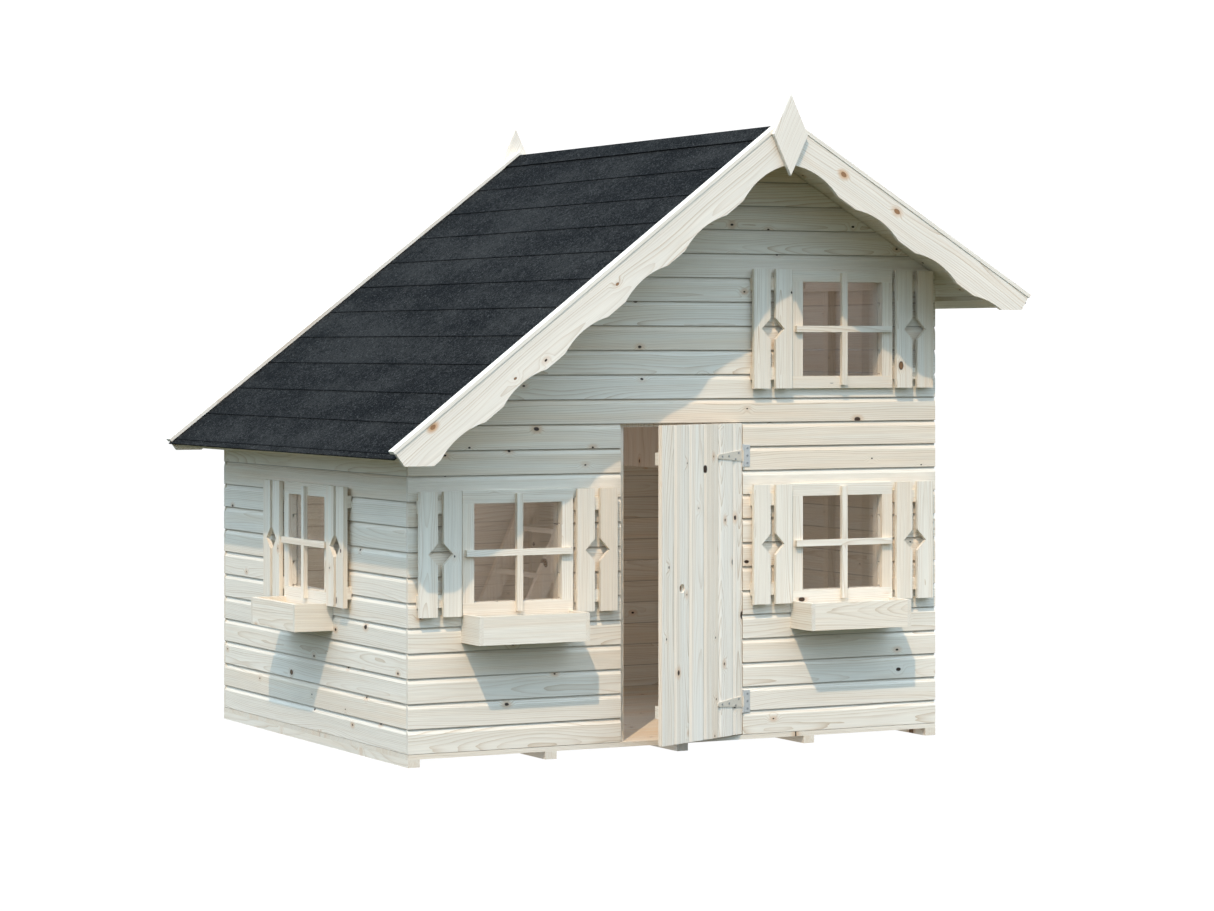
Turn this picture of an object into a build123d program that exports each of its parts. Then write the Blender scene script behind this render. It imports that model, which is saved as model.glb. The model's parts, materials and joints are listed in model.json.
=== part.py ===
from build123d import *
import os
from math import ceil, cos, radians, sin, tan

# A child's wooden playhouse with a loft: tongued boards on a joisted floor, an
# uneven gable roof with bitumen shingles, four fixed windows with shutters,
# three planter boxes and one ledged door on T-hinges, standing a little open.
# Millimetres, +Z up, +X to the right along the front wall, +Y to the rear.
# The origin is the centre of the footprint on the ground.

# ---------------------------------------------------------------- driving dimensions
HOUSE_WIDTH = 2177.0        # outside of the left wall to outside of the right wall
HOUSE_DEPTH = 1770.0        # outside of the front wall to outside of the rear wall
BOARD = 88.0                # cover width of every board
BOARD_GAP = 0.4             # the tongue joint, left as a hairline
WALL = 16.0                 # thickness of wall, roof and door boards
BEVEL_HEIGHT = 19.0         # bevel along the upper edge of a wall board
BEVEL_DEPTH = 8.0
BASE_REBATE = 1.6           # height of the shadow line above the floor boards
BASE_REBATE_DEPTH = 5.0
JOIST_WIDTH = 45.0
JOIST_HEIGHT = 28.0
JOISTS = 5
DECK = 17.0                 # floor board thickness, ground floor and loft
STUD = 34.0                 # square section of posts, studs and frames

RIDGE_X = 258.0             # the ridge stands right of the middle
RIDGE_Z = 2275.0            # bargeboard top edge at the ridge
LEFT_PITCH = 37.4           # degrees
RIGHT_PITCH = 31.1
LEFT_SLOPE = 1920.0         # roof boards, ridge to eave, along the slope
RIGHT_SLOPE = 1204.0
FRONT_OVERHANG = 296.0      # roof boards in front of the front wall
REAR_OVERHANG = 124.0
ROOF_SINK = 13.0            # bargeboard top edge down to the shingles, square to the slope
SHINGLE = 4.0               # covering thickness at a butt edge
SHINGLE_THIN = 1.5          # covering thickness at the upper edge of a course
SHINGLE_COURSE = 165.7
SHINGLE_JOINTS = ((446.0, 1293.0), (666.0, 1957.0))     # from the front, course by course
SHINGLE_SLOT = 1.5
STARTER_SHOWS = 25.5        # starter strip below the lowest course
STARTER_STEP = 2.0
DRIP = 20.0                 # starter strip beyond the board ends
DRIP_LIP = 19.5             # its lower edge under the top line
CAP_FLAP = 92.0
CAP = 2.0
EAVE_BATTEN_WIDTH = 54.0
EAVE_BATTEN = 18.0
EAVE_BATTEN_SET = 4.0       # batten behind the board ends

BARGE_DEPTH = 121.0
BARGE = 16.0
BARGE_PAST_EAVE = 8.0
BARGE_TOE = 55.0            # the square end stops this far under the top line
REAR_BARGE_TOE = 59.0
SCALLOP_FIRST = 216.0       # centre of the first scallop, from the ridge
SCALLOP_PITCH = 298.0
SCALLOP_CHORD = 212.0
SCALLOP_RISE = 20.5
BARGE_CROWN = 166.0         # ridge point down to the crown of the arch
LATH_HEIGHT = 13.0
LATH_WIDTH = 40.0
LATH_PROUD = 3.0
FINIAL_HALF_WIDTH = 70.0
FINIAL_HALF_HEIGHT = 145.5
FINIAL_DROP = 52.0          # ridge point down to the finial's centre
FINIAL_SHIFT = 3.0          # to the right of the ridge

DOOR_OPENING = 504.0
DOOR_ROWS = 13              # the door opening is this many boards high
DOOR_GAP = 2.5
DOOR_FOOT_GAP = 4.0
DOOR_BOARD = 92.0           # cover width of a door plank
FIRST_DOOR_BOARD = 71.0     # the plank on the leading edge, ripped narrower
DOOR_OPEN = 25.7            # degrees, how far the door stands open
LEDGE_HEIGHT = 45.0
LEDGE_INSET = 2.0
HINGE_INSET = 119.0         # hinge centre to the end of the door
FINGER_HOLE_X = -127.0      # on the closed door
FINGER_HOLE_Z = 602.0
FINGER_HOLE_RADIUS = 16.0
STOP_WIDTH = 27.0
HEAD_STOP = 14.0

PIN_RADIUS = 2.5
PIN_CLEARANCE = 0.05
PIN_STANDOFF = 4.5          # pin axis in front of the wall's face
KNUCKLE_RADIUS = 4.2
HINGE_PLATE = 2.5
PLATE_HALF_HEIGHT = 40.0
PLATE_WIDTH = 30.0
STRAP_KNUCKLE_HALF = 19.5
STRAP_LENGTH = 157.0
STRAP_TIP = 15.0
STRAP_SCREWS = [(26.0, 11.0), (46.0, -11.0), (88.0, 0.0), (130.0, 0.0)]
PLATE_SCREWS = [-27.0, 0.0, 27.0]
PLATE_SCREW_X = 19.0
SCREW_RADIUS = 2.0
SCREW_HOLE = 2.15
SCREW_HEAD_RADIUS = 4.0
SCREW_HEAD = 1.4
SCREW_LENGTH = 14.0

GLASS_WIDTH = 344.0         # clear opening of every window
GLASS_HEIGHT = 348.0
WINDOW_X = 670.0            # window centres, left and right of the middle
LOW_WINDOW_Z = 741.0
HIGH_WINDOW_Z = 1531.0
CASING_WIDTH = 45.0
CASING = 16.0
MUNTIN_WIDTH = 23.0
MUNTIN_LENGTH = 414.0
MUNTIN = 16.0
PANE = 3.0
PANE_LAP = 12.0
SHUTTER_BOARD = 69.0
SHUTTER_GAP = 23.0
SHUTTER_THICK = 16.0
SHUTTER_OFF_CASING = 10.0
SHUTTER_BATTEN = 45.0
SHUTTER_BATTEN_INSET = 32.0
DIAMOND_DEPTH = 37.0        # notch in each shutter board
DIAMOND_HALF_HEIGHT = 39.0
PLANTER_WIDTH = 430.0
PLANTER_DEPTH = 150.0
PLANTER_HEIGHT = 100.0
PLANTER_BOARD = 16.0
PLANTER_LIP = 6.0           # planter rim above the casing's lower edge

PLATE_HEIGHT = 60.0         # eave plates
GABLE_BATTEN = 45.0
RIDGE_BEAM_WIDTH = 28.0
RIDGE_BEAM_HEIGHT = 95.0
RAFTER_WIDTH = 28.0
RAFTER_DEPTH = 60.0

LOFT_EDGE_X = 312.0
LOFT_TOP = 1085.0
LOFT_BEAM_HEIGHT = 70.0
LOFT_LEDGER_HEIGHT = 45.0
GUARD_TOP = 1330.0
GUARD_BOARDS = 13
GUARD_RAIL = 45.0
LADDER_ANGLE = 65.0
LADDER_Y = (372.0, 805.0)   # outer faces of the two stringers
STRINGER_WIDTH = 70.0
STRINGER = 26.0
LADDER_ABOVE_LOFT = 60.0
TREADS = 5
TREAD_DEPTH = 60.0
TREAD = 20.0

# ---------------------------------------------------------------- derived places
LEFT = -HOUSE_WIDTH / 2
RIGHT = HOUSE_WIDTH / 2
FRONT = -HOUSE_DEPTH / 2
BACK = HOUSE_DEPTH / 2
DECK_TOP = JOIST_HEIGHT + DECK
IN_LEFT = LEFT + WALL
IN_RIGHT = RIGHT - WALL
IN_FRONT = FRONT + WALL
IN_BACK = BACK - WALL
ROOF_FRONT = FRONT - FRONT_OVERHANG
ROOF_BACK = BACK + REAR_OVERHANG
BOARD_TOP = ROOF_SINK + SHINGLE
ROOF_DEPTH = BOARD_TOP + WALL
SIDES = ("left", "right")
PITCH = {"left": radians(LEFT_PITCH), "right": radians(RIGHT_PITCH)}
SLOPE = {"left": LEFT_SLOPE, "right": RIGHT_SLOPE}
OUTWARD = {"left": -1.0, "right": 1.0}
HALF_DOOR = DOOR_OPENING / 2
DOOR_HEAD = DECK_TOP + DOOR_ROWS * BOARD
LEAF_EDGE = HALF_DOOR - DOOR_GAP
LEAF_FOOT = DECK_TOP + DOOR_FOOT_GAP
LEAF_TOP = DOOR_HEAD - 3.0
PIN_X = HALF_DOOR - DOOR_GAP / 2
PIN_Y = FRONT - PIN_STANDOFF
HINGE_HEIGHTS = (LEAF_FOOT + HINGE_INSET, LEAF_TOP - HINGE_INSET)
# window name: wall, centre along the wall, centre height, has a planter
WINDOWS = {
    "front_left": ("front", -WINDOW_X, LOW_WINDOW_Z, True),
    "front_right": ("front", WINDOW_X, LOW_WINDOW_Z, True),
    "front_upper": ("front", WINDOW_X, HIGH_WINDOW_Z, False),
    "side": ("left", 0.0, LOW_WINDOW_Z, True),
}


# ---------------------------------------------------------------- helpers
def block(x, y, z):
    """A box from three (low, high) pairs."""
    size = [high - low for low, high in (x, y, z)]
    middle = [(high + low) / 2 for low, high in (x, y, z)]
    return Pos(*middle) * Box(*size)


def bar(section, along, start, end):
    """A straight bar with the given section corners, between two places on its axis."""
    place = {
        "X": lambda a, b: (start, a, b),
        "Y": lambda a, b: (a, start, b),
        "Z": lambda a, b: (a, b, start),
    }[along]
    run = {"X": (1, 0, 0), "Y": (0, 1, 0), "Z": (0, 0, 1)}[along]
    face = Face(Wire.make_polygon([place(a, b) for a, b in section]))
    return Solid.extrude(face, Vector(*run) * (end - start))


def on_slope(side, down, under):
    """The (x, z) of a point a distance down a slope and under its top line."""
    angle = PITCH[side]
    out = OUTWARD[side]
    x = RIDGE_X + out * (down * cos(angle) - under * sin(angle))
    return x, RIDGE_Z - down * sin(angle) - under * cos(angle)


def slope_z(side, x, under):
    """The height of the line that lies a distance under a slope's top line."""
    angle = PITCH[side]
    return RIDGE_Z - abs(x - RIDGE_X) * tan(angle) - under / cos(angle)


def solids_of(shapes):
    """Every solid in a list of shapes, empty results left out."""
    found = []
    for shape in shapes:
        if shape is not None:
            found.extend(shape.solids())
    return found


def cylinder(x, y, z, radius, length, direction):
    """A cylinder that starts at a point and runs along a direction."""
    plane = Plane(origin=(x, y, z), z_dir=direction)
    return Solid.make_cylinder(radius, length, plane)


def mirror_back(shape):
    """The same piece on the rear gable."""
    return shape.mirror(Plane.XZ).move(Location((0, ROOF_BACK + ROOF_FRONT, 0)))


def under_roof(under):
    """The space below both roof slopes, as one convex block."""
    margin = 60.0
    low_left = LEFT - margin
    low_right = RIGHT + margin
    section = [
        (low_left, 0.0),
        (low_right, 0.0),
        (low_right, slope_z("right", low_right, under)),
        (RIDGE_X, min(slope_z(side, RIDGE_X, under) for side in SIDES)),
        (low_left, slope_z("left", low_left, under)),
    ]
    return bar(section, "Y", FRONT - margin, BACK + margin)


# ---------------------------------------------------------------- base
def floor_joists():
    step = (HOUSE_WIDTH - JOIST_WIDTH) / (JOISTS - 1)
    starts = [LEFT + i * step for i in range(JOISTS)]
    return [block((x, x + JOIST_WIDTH), (FRONT, BACK), (0, JOIST_HEIGHT)) for x in starts]


def floor_boards():
    rows = ceil(HOUSE_DEPTH / BOARD)
    boards = []
    for row in range(rows):
        start = FRONT + row * BOARD
        end = min(start + BOARD - BOARD_GAP, BACK)
        boards.append(block((LEFT, RIGHT), (start, end), (JOIST_HEIGHT, DECK_TOP)))
    return boards


# ---------------------------------------------------------------- walls
def wall_board(wall, row, start, end):
    """One horizontal board, its outer upper edge bevelled, the lowest one rebated."""
    face, inward = {
        "front": (FRONT, 1),
        "rear": (BACK, -1),
        "left": (LEFT, 1),
        "right": (RIGHT, -1),
    }[wall]
    foot = DECK_TOP + row * BOARD
    top = foot + BOARD - BOARD_GAP
    section = [
        (face, top - BEVEL_HEIGHT),
        (face + inward * BEVEL_DEPTH, top),
        (face + inward * WALL, top),
        (face + inward * WALL, foot),
    ]
    if row == 0:
        rebate = face + inward * BASE_REBATE_DEPTH
        section += [(rebate, foot), (rebate, foot + BASE_REBATE), (face, foot + BASE_REBATE)]
    else:
        section.append((face, foot))
    along = "X" if wall in ("front", "rear") else "Y"
    return bar(section, along, start, end)


def window_hole(name):
    """The clear opening of a window, cut right through its wall."""
    wall, centre, height, _ = WINDOWS[name]
    across = (centre - GLASS_WIDTH / 2, centre + GLASS_WIDTH / 2)
    tall = (height - GLASS_HEIGHT / 2, height + GLASS_HEIGHT / 2)
    if wall == "front":
        return block(across, (FRONT - 5, IN_FRONT + 5), tall)
    return block((LEFT - 5, IN_LEFT + 5), across, tall)


def plate_screw_holes(radius, length):
    """Shank-sized cylinders at every hinge plate screw."""
    x = PIN_X + PLATE_SCREW_X
    y = FRONT - HINGE_PLATE
    heights = [centre + dz for centre in HINGE_HEIGHTS for dz in PLATE_SCREWS]
    return [cylinder(x, y, z, radius, length, (0, 1, 0)) for z in heights]


def wall_boards(wall, start, end, holes):
    """Every row of a wall, cut by the roof and by its openings."""
    room = under_roof(ROOF_DEPTH + 0.3)
    rows = ceil((RIDGE_Z - DECK_TOP) / BOARD)
    pieces = []
    for row in range(rows):
        board = wall_board(wall, row, start, end) & room
        for piece in solids_of([board]):
            box = piece.bounding_box()
            for hole in holes:
                near = hole.bounding_box()
                level = box.min.Z < near.max.Z and near.min.Z < box.max.Z
                if level and piece is not None:
                    piece = piece - hole
            pieces.append(piece)
    return solids_of(pieces)


def front_wall():
    head = DOOR_HEAD - BOARD_GAP / 2
    doorway = block((-HALF_DOOR, HALF_DOOR), (FRONT - 5, IN_FRONT + 5), (0, head))
    windows = [window_hole(name) for name in ("front_left", "front_right", "front_upper")]
    screws = plate_screw_holes(SCREW_HOLE, SCREW_LENGTH + 1)
    return wall_boards("front", LEFT, RIGHT, [doorway] + windows + screws)


def wall_posts():
    """Corner posts and studs inside the walls."""
    room = under_roof(ROOF_DEPTH + 0.5)
    tall = (DECK_TOP, RIDGE_Z)
    corners_x = ((IN_LEFT, IN_LEFT + STUD), (IN_RIGHT - STUD, IN_RIGHT))
    corners_y = ((IN_FRONT, IN_FRONT + STUD), (IN_BACK - STUD, IN_BACK))
    posts = [block(x, y, tall) & room for x in corners_x for y in corners_y]
    king = (RIDGE_X - STUD / 2, RIDGE_X + STUD / 2)
    beam_foot = ridge_beam_top() - RIDGE_BEAM_HEIGHT
    posts.append(block(king, corners_y[1], (DECK_TOP, beam_foot)))
    posts.append(block(king, corners_y[0], (DOOR_HEAD + STUD, beam_foot)))
    rear_x = (-420.0, -420.0 + STUD)
    posts.append(block(rear_x, corners_y[1], tall) & under_roof(ROOF_DEPTH + GABLE_BATTEN + 1))
    side_y = (-187.0, -187.0 + STUD)
    side_top = eave_plate_top("right") - PLATE_HEIGHT
    posts.append(block(corners_x[1], side_y, (DECK_TOP, side_top)))
    return solids_of(posts)


# ---------------------------------------------------------------- door frame
def door_frame():
    """Two posts and a head inside the doorway, with the strips the door shuts on."""
    depth = (IN_FRONT, IN_FRONT + STUD)
    posts = [
        block((-HALF_DOOR - STUD, -HALF_DOOR), depth, (DECK_TOP, DOOR_HEAD)),
        block((HALF_DOOR, HALF_DOOR + STUD), depth, (DECK_TOP, DOOR_HEAD)),
        block((-HALF_DOOR - STUD, HALF_DOOR + STUD), depth, (DOOR_HEAD, DOOR_HEAD + STUD)),
    ]
    screws = plate_screw_holes(SCREW_HOLE, SCREW_LENGTH + 1)
    for screw in screws:
        posts[1] = posts[1] - screw
    return solids_of(posts)


def door_stops():
    depth = (IN_FRONT + WALL + 1, IN_FRONT + 2 * WALL + 1)
    head = (DOOR_HEAD - HEAD_STOP, DOOR_HEAD)
    tall = (DECK_TOP, DOOR_HEAD)
    return [
        block((-HALF_DOOR, STOP_WIDTH - HALF_DOOR), depth, tall),
        block((HALF_DOOR - STOP_WIDTH, HALF_DOOR), depth, tall),
        block((STOP_WIDTH - HALF_DOOR, HALF_DOOR - STOP_WIDTH), depth, head),
    ]


# ---------------------------------------------------------------- door leaf, drawn shut
def swing(shapes):
    """Turn closed door pieces about the hinge pins to the open rest position."""
    axis = Axis((PIN_X, PIN_Y, 0), (0, 0, 1))
    return [shape.rotate(axis, DOOR_OPEN) for shape in solids_of(shapes)]


def strap_screw_shanks(radius, length):
    y = FRONT - HINGE_PLATE
    places = [(PIN_X - dx, z + dz) for z in HINGE_HEIGHTS for dx, dz in STRAP_SCREWS]
    return [cylinder(x, y, z, radius, length, (0, 1, 0)) for x, z in places]


def door_planks():
    """Vertical boards from the leading edge, the first and the last one ripped narrower."""
    count = 1 + ceil((2 * LEAF_EDGE - FIRST_DOOR_BOARD) / DOOR_BOARD)
    cuts = strap_screw_shanks(SCREW_HOLE, SCREW_LENGTH + 8)
    hole = cylinder(FINGER_HOLE_X, FRONT - 5, FINGER_HOLE_Z, FINGER_HOLE_RADIUS, 30, (0, 1, 0))
    cuts.append(hole)
    planks = []
    for i in range(count):
        joint = FIRST_DOOR_BOARD - LEAF_EDGE + i * DOOR_BOARD
        start = max(joint - DOOR_BOARD, -LEAF_EDGE)
        end = min(joint - BOARD_GAP, LEAF_EDGE)
        face = [(start, FRONT)]
        if i > 0:
            face = [(start, FRONT + BEVEL_DEPTH), (start + BEVEL_HEIGHT, FRONT)]
        section = face + [(end, FRONT), (end, IN_FRONT), (start, IN_FRONT)]
        plank = bar(section, "Z", LEAF_FOOT, LEAF_TOP)
        for cut in cuts:
            box = cut.bounding_box()
            if box.min.X < end and start < box.max.X:
                plank = plank - cut
        planks.append(plank)
    return swing(planks)


def ledge_heights(centre):
    return (centre - LEDGE_HEIGHT / 2, centre + LEDGE_HEIGHT / 2)


def door_ledges():
    cuts = strap_screw_shanks(SCREW_HOLE, SCREW_LENGTH + 8)
    across = (LEDGE_INSET - LEAF_EDGE, LEAF_EDGE - LEDGE_INSET)
    ledges = []
    for centre in HINGE_HEIGHTS:
        ledge = block(across, (IN_FRONT, IN_FRONT + WALL), ledge_heights(centre))
        for cut in cuts:
            ledge = ledge - cut
        ledges.append(ledge)
    return swing(ledges)


def door_brace():
    """The diagonal between the ledges, rising away from the hinges."""
    foot = ledge_heights(HINGE_HEIGHTS[0])[1]
    top = ledge_heights(HINGE_HEIGHTS[1])[0]
    reach = LEAF_EDGE - 30.0
    width = 60.0
    section = [(reach - width, foot), (reach, foot), (width - reach, top), (-reach, top)]
    return swing([bar(section, "Y", IN_FRONT, IN_FRONT + WALL)])


# ---------------------------------------------------------------- hinges
def knuckle(z_low, z_high):
    return cylinder(PIN_X, PIN_Y, z_low, KNUCKLE_RADIUS, z_high - z_low, (0, 0, 1))


def pin_bore(centre):
    length = 2 * PLATE_HALF_HEIGHT + 2
    radius = PIN_RADIUS + PIN_CLEARANCE
    return cylinder(PIN_X, PIN_Y, centre - length / 2, radius, length, (0, 0, 1))


def hinge_straps():
    """The long tapered leaf of each T-hinge, with the middle knuckle."""
    straps = []
    for centre in HINGE_HEIGHTS:
        root = STRAP_KNUCKLE_HALF
        tip = STRAP_TIP / 2
        end = PIN_X - STRAP_LENGTH
        section = [
            (PIN_X, centre - root),
            (PIN_X, centre + root),
            (PIN_X - 12, centre + root),
            (end + 4, centre + tip),
            (end, centre + tip - 4),
            (end, centre - tip + 4),
            (end + 4, centre - tip),
            (PIN_X - 12, centre - root),
        ]
        strap = bar(section, "Y", FRONT - HINGE_PLATE, FRONT)
        strap = strap + knuckle(centre - root, centre + root) - pin_bore(centre)
        for cut in strap_screw_shanks(SCREW_HOLE, HINGE_PLATE + 1):
            strap = strap - cut
        straps.append(strap)
    return swing(straps)


def strap_screws():
    heads = strap_screw_shanks(SCREW_RADIUS, SCREW_LENGTH + 6)
    screws = []
    for shank in heads:
        middle = shank.bounding_box().center()
        y = FRONT - HINGE_PLATE - SCREW_HEAD
        head = cylinder(middle.X, y, middle.Z, SCREW_HEAD_RADIUS, SCREW_HEAD, (0, 1, 0))
        screws.append(shank + head)
    return swing(screws)


def hinge_plates():
    """The short leaf on the wall, with an upper and a lower knuckle."""
    plates = []
    for centre in HINGE_HEIGHTS:
        low = centre - PLATE_HALF_HEIGHT
        high = centre + PLATE_HALF_HEIGHT
        inner = STRAP_KNUCKLE_HALF + 0.5
        plate = block((PIN_X, PIN_X + PLATE_WIDTH), (FRONT - HINGE_PLATE, FRONT), (low, high))
        plate = plate + knuckle(low, centre - inner) + knuckle(centre + inner, high)
        room = KNUCKLE_RADIUS + 0.5
        plate = plate - pin_bore(centre)
        gap = (centre - inner, centre + inner)
        plate = plate - block((PIN_X - room, PIN_X + room), (PIN_Y - room, FRONT + 1), gap)
        for cut in plate_screw_holes(SCREW_HOLE, HINGE_PLATE + 1):
            plate = plate - cut
        plates.append(plate)
    return solids_of(plates)


def hinge_pins():
    pins = []
    for centre in HINGE_HEIGHTS:
        low = centre - PLATE_HALF_HEIGHT
        shank = cylinder(PIN_X, PIN_Y, low, PIN_RADIUS, 2 * PLATE_HALF_HEIGHT, (0, 0, 1))
        head = cylinder(PIN_X, PIN_Y, low - 2, KNUCKLE_RADIUS - 0.2, 2, (0, 0, 1))
        peened = cylinder(PIN_X, PIN_Y, low + 2 * PLATE_HALF_HEIGHT, KNUCKLE_RADIUS - 0.2, 2, (0, 0, 1))
        pins.append(shank + head + peened)
    return solids_of(pins)


def plate_screws():
    screws = []
    for shank in plate_screw_holes(SCREW_RADIUS, SCREW_LENGTH):
        middle = shank.bounding_box().center()
        y = FRONT - HINGE_PLATE - SCREW_HEAD
        head = cylinder(middle.X, y, middle.Z, SCREW_HEAD_RADIUS, SCREW_HEAD, (0, 1, 0))
        screws.append(shank + head)
    return solids_of(screws)


# ---------------------------------------------------------------- windows
def on_wall(wall, across, outward, tall):
    """A box on a wall: along it, outward from its face, and in height."""
    if wall == "front":
        return block(across, (FRONT - outward[1], FRONT - outward[0]), tall)
    return block((LEFT - outward[1], LEFT - outward[0]), across, tall)


def ring(wall, centre, height, border, outward):
    """Four boards around a window's clear opening."""
    half_w = GLASS_WIDTH / 2
    half_h = GLASS_HEIGHT / 2
    full = (centre - half_w - border, centre + half_w + border)
    stile = (height - half_h, height + half_h)
    return [
        on_wall(wall, full, outward, (height + half_h, height + half_h + border)),
        on_wall(wall, full, outward, (height - half_h - border, height - half_h)),
        on_wall(wall, (full[0], centre - half_w), outward, stile),
        on_wall(wall, (centre + half_w, full[1]), outward, stile),
    ]


def window_casing(name):
    wall, centre, height, _ = WINDOWS[name]
    return ring(wall, centre, height, CASING_WIDTH, (0, CASING))


def window_pane(name):
    wall, centre, height, _ = WINDOWS[name]
    half_w = GLASS_WIDTH / 2 + PANE_LAP
    half_h = GLASS_HEIGHT / 2 + PANE_LAP
    across = (centre - half_w, centre + half_w)
    tall = (height - half_h, height + half_h)
    return [on_wall(wall, across, (-WALL - PANE, -WALL), tall)]


def window_inner_frame(name):
    """Rebated battens that hold the pane against the inside of the wall."""
    wall, centre, height, _ = WINDOWS[name]
    room = 0.5
    half_w = GLASS_WIDTH / 2 + PANE_LAP + room
    half_h = GLASS_HEIGHT / 2 + PANE_LAP + room
    rebate = on_wall(
        wall,
        (centre - half_w, centre + half_w),
        (-WALL - PANE - room, -WALL + room),
        (height - half_h, height + half_h),
    )
    battens = ring(wall, centre, height, STUD, (-WALL - STUD, -WALL))
    return solids_of([batten - rebate for batten in battens])


def window_muntins(name):
    """An upright and a crossbar, halved into each other."""
    wall, centre, height, _ = WINDOWS[name]
    half = MUNTIN_LENGTH / 2
    half_w = MUNTIN_WIDTH / 2
    face = (CASING, CASING + MUNTIN)
    middle = CASING + MUNTIN / 2
    upright = on_wall(wall, (centre - half_w, centre + half_w), face, (height - half, height + half))
    crossbar = on_wall(wall, (centre - half, centre + half), face, (height - half_w, height + half_w))
    crossing = (centre - half_w, centre + half_w)
    level = (height - half_w, height + half_w)
    front_half = on_wall(wall, crossing, (middle, CASING + MUNTIN + 1), level)
    back_half = on_wall(wall, crossing, (CASING - 1, middle), level)
    return solids_of([upright - front_half, crossbar - back_half])


def shutter_starts(centre):
    """Left edges of the two shutters beside a window."""
    width = 2 * SHUTTER_BOARD + SHUTTER_GAP
    offset = GLASS_WIDTH / 2 + CASING_WIDTH + SHUTTER_OFF_CASING
    return (centre - offset - width, centre + offset)


def shutter_board(wall, start, height, notch_side):
    """One upright board, with half of the diamond cut into one edge."""
    half = GLASS_HEIGHT / 2 + CASING_WIDTH
    end = start + SHUTTER_BOARD
    if notch_side > 0:
        edge = [(end, -DIAMOND_HALF_HEIGHT), (end - DIAMOND_DEPTH, 0.0), (end, DIAMOND_HALF_HEIGHT)]
        outline = [(start, -half), (end, -half)] + edge + [(end, half), (start, half)]
    else:
        edge = [(start, DIAMOND_HALF_HEIGHT), (start + DIAMOND_DEPTH, 0.0), (start, -DIAMOND_HALF_HEIGHT)]
        outline = [(start, -half), (end, -half), (end, half), (start, half)] + edge
    section = [(along, height + z) for along, z in outline]
    inner = CASING
    outer = CASING + SHUTTER_THICK
    if wall == "front":
        return bar(section, "Y", FRONT - outer, FRONT - inner)
    return bar(section, "X", LEFT - outer, LEFT - inner)


def shutter_boards(name):
    wall, centre, height, _ = WINDOWS[name]
    boards = []
    for start in shutter_starts(centre):
        boards.append(shutter_board(wall, start, height, 1))
        boards.append(shutter_board(wall, start + SHUTTER_BOARD + SHUTTER_GAP, height, -1))
    return boards


def shutter_battens():
    """Two cross battens behind every shutter, fixed to the wall."""
    half = GLASS_HEIGHT / 2 + CASING_WIDTH
    width = 2 * SHUTTER_BOARD + SHUTTER_GAP
    battens = []
    for wall, centre, height, _ in WINDOWS.values():
        for start in shutter_starts(centre):
            for foot in (-half + SHUTTER_BATTEN_INSET, half - SHUTTER_BATTEN_INSET - SHUTTER_BATTEN):
                tall = (height + foot, height + foot + SHUTTER_BATTEN)
                battens.append(on_wall(wall, (start, start + width), (0, CASING), tall))
    return battens


def planter(name):
    """An open box: front, two ends, floor and a back board under the casing."""
    wall, centre, height, _ = WINDOWS[name]
    casing_foot = height - GLASS_HEIGHT / 2 - CASING_WIDTH
    top = casing_foot + PLANTER_LIP
    foot = top - PLANTER_HEIGHT
    half = PLANTER_WIDTH / 2
    board = PLANTER_BOARD
    full = (centre - half, centre + half)
    inner = (centre - half + board, centre + half - board)
    deep = (board, PLANTER_DEPTH - board)
    return [
        on_wall(wall, full, (PLANTER_DEPTH - board, PLANTER_DEPTH), (foot, top)),
        on_wall(wall, (full[0], inner[0]), deep, (foot, top)),
        on_wall(wall, (inner[1], full[1]), deep, (foot, top)),
        on_wall(wall, inner, deep, (foot, foot + board)),
        on_wall(wall, full, (0, board), (foot, casing_foot)),
    ]


# ---------------------------------------------------------------- roof
def roof_boards(side):
    """Boards along the house, laid from the ridge down, the last one ripped."""
    chamfer = 3.0
    rows = ceil(SLOPE[side] / BOARD)
    boards = []
    for row in range(rows):
        top = row * BOARD
        foot = min(top + BOARD - BOARD_GAP, SLOPE[side])
        if row == 0:
            upper = [(0.3 + u * tan(PITCH[side]), u) for u in (ROOF_DEPTH, BOARD_TOP)]
        else:
            upper = [(top + chamfer, ROOF_DEPTH), (top, ROOF_DEPTH - chamfer), (top, BOARD_TOP)]
        lower = [(foot, BOARD_TOP), (foot, ROOF_DEPTH - chamfer), (foot - chamfer, ROOF_DEPTH)]
        section = [on_slope(side, s, u) for s, u in upper + lower]
        boards.append(bar(section, "Y", ROOF_FRONT, ROOF_BACK))
    return boards


def eave_battens():
    """A batten under the lowest roof boards, along each eave."""
    battens = []
    for side in SIDES:
        outer = SLOPE[side] - EAVE_BATTEN_SET
        inner = outer - EAVE_BATTEN_WIDTH
        foot = ROOF_DEPTH + EAVE_BATTEN
        corners = [(inner, ROOF_DEPTH), (outer, ROOF_DEPTH), (outer, foot), (inner, foot)]
        section = [on_slope(side, s, u) for s, u in corners]
        battens.append(bar(section, "Y", ROOF_FRONT, ROOF_BACK))
    return battens


def starter_strip(side):
    """The strip under the lowest course, out past the board ends as a drip edge."""
    edge = SLOPE[side] + DRIP
    inner = SLOPE[side] + 0.3
    back = edge - STARTER_SHOWS + 0.3
    top = ROOF_SINK + STARTER_STEP
    under = BOARD_TOP - 0.1
    corners = [(back, top), (edge, top), (edge, DRIP_LIP), (inner, DRIP_LIP), (inner, under), (back, under)]
    section = [on_slope(side, s, u) for s, u in corners]
    return bar(section, "Y", ROOF_FRONT, ROOF_BACK)


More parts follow.
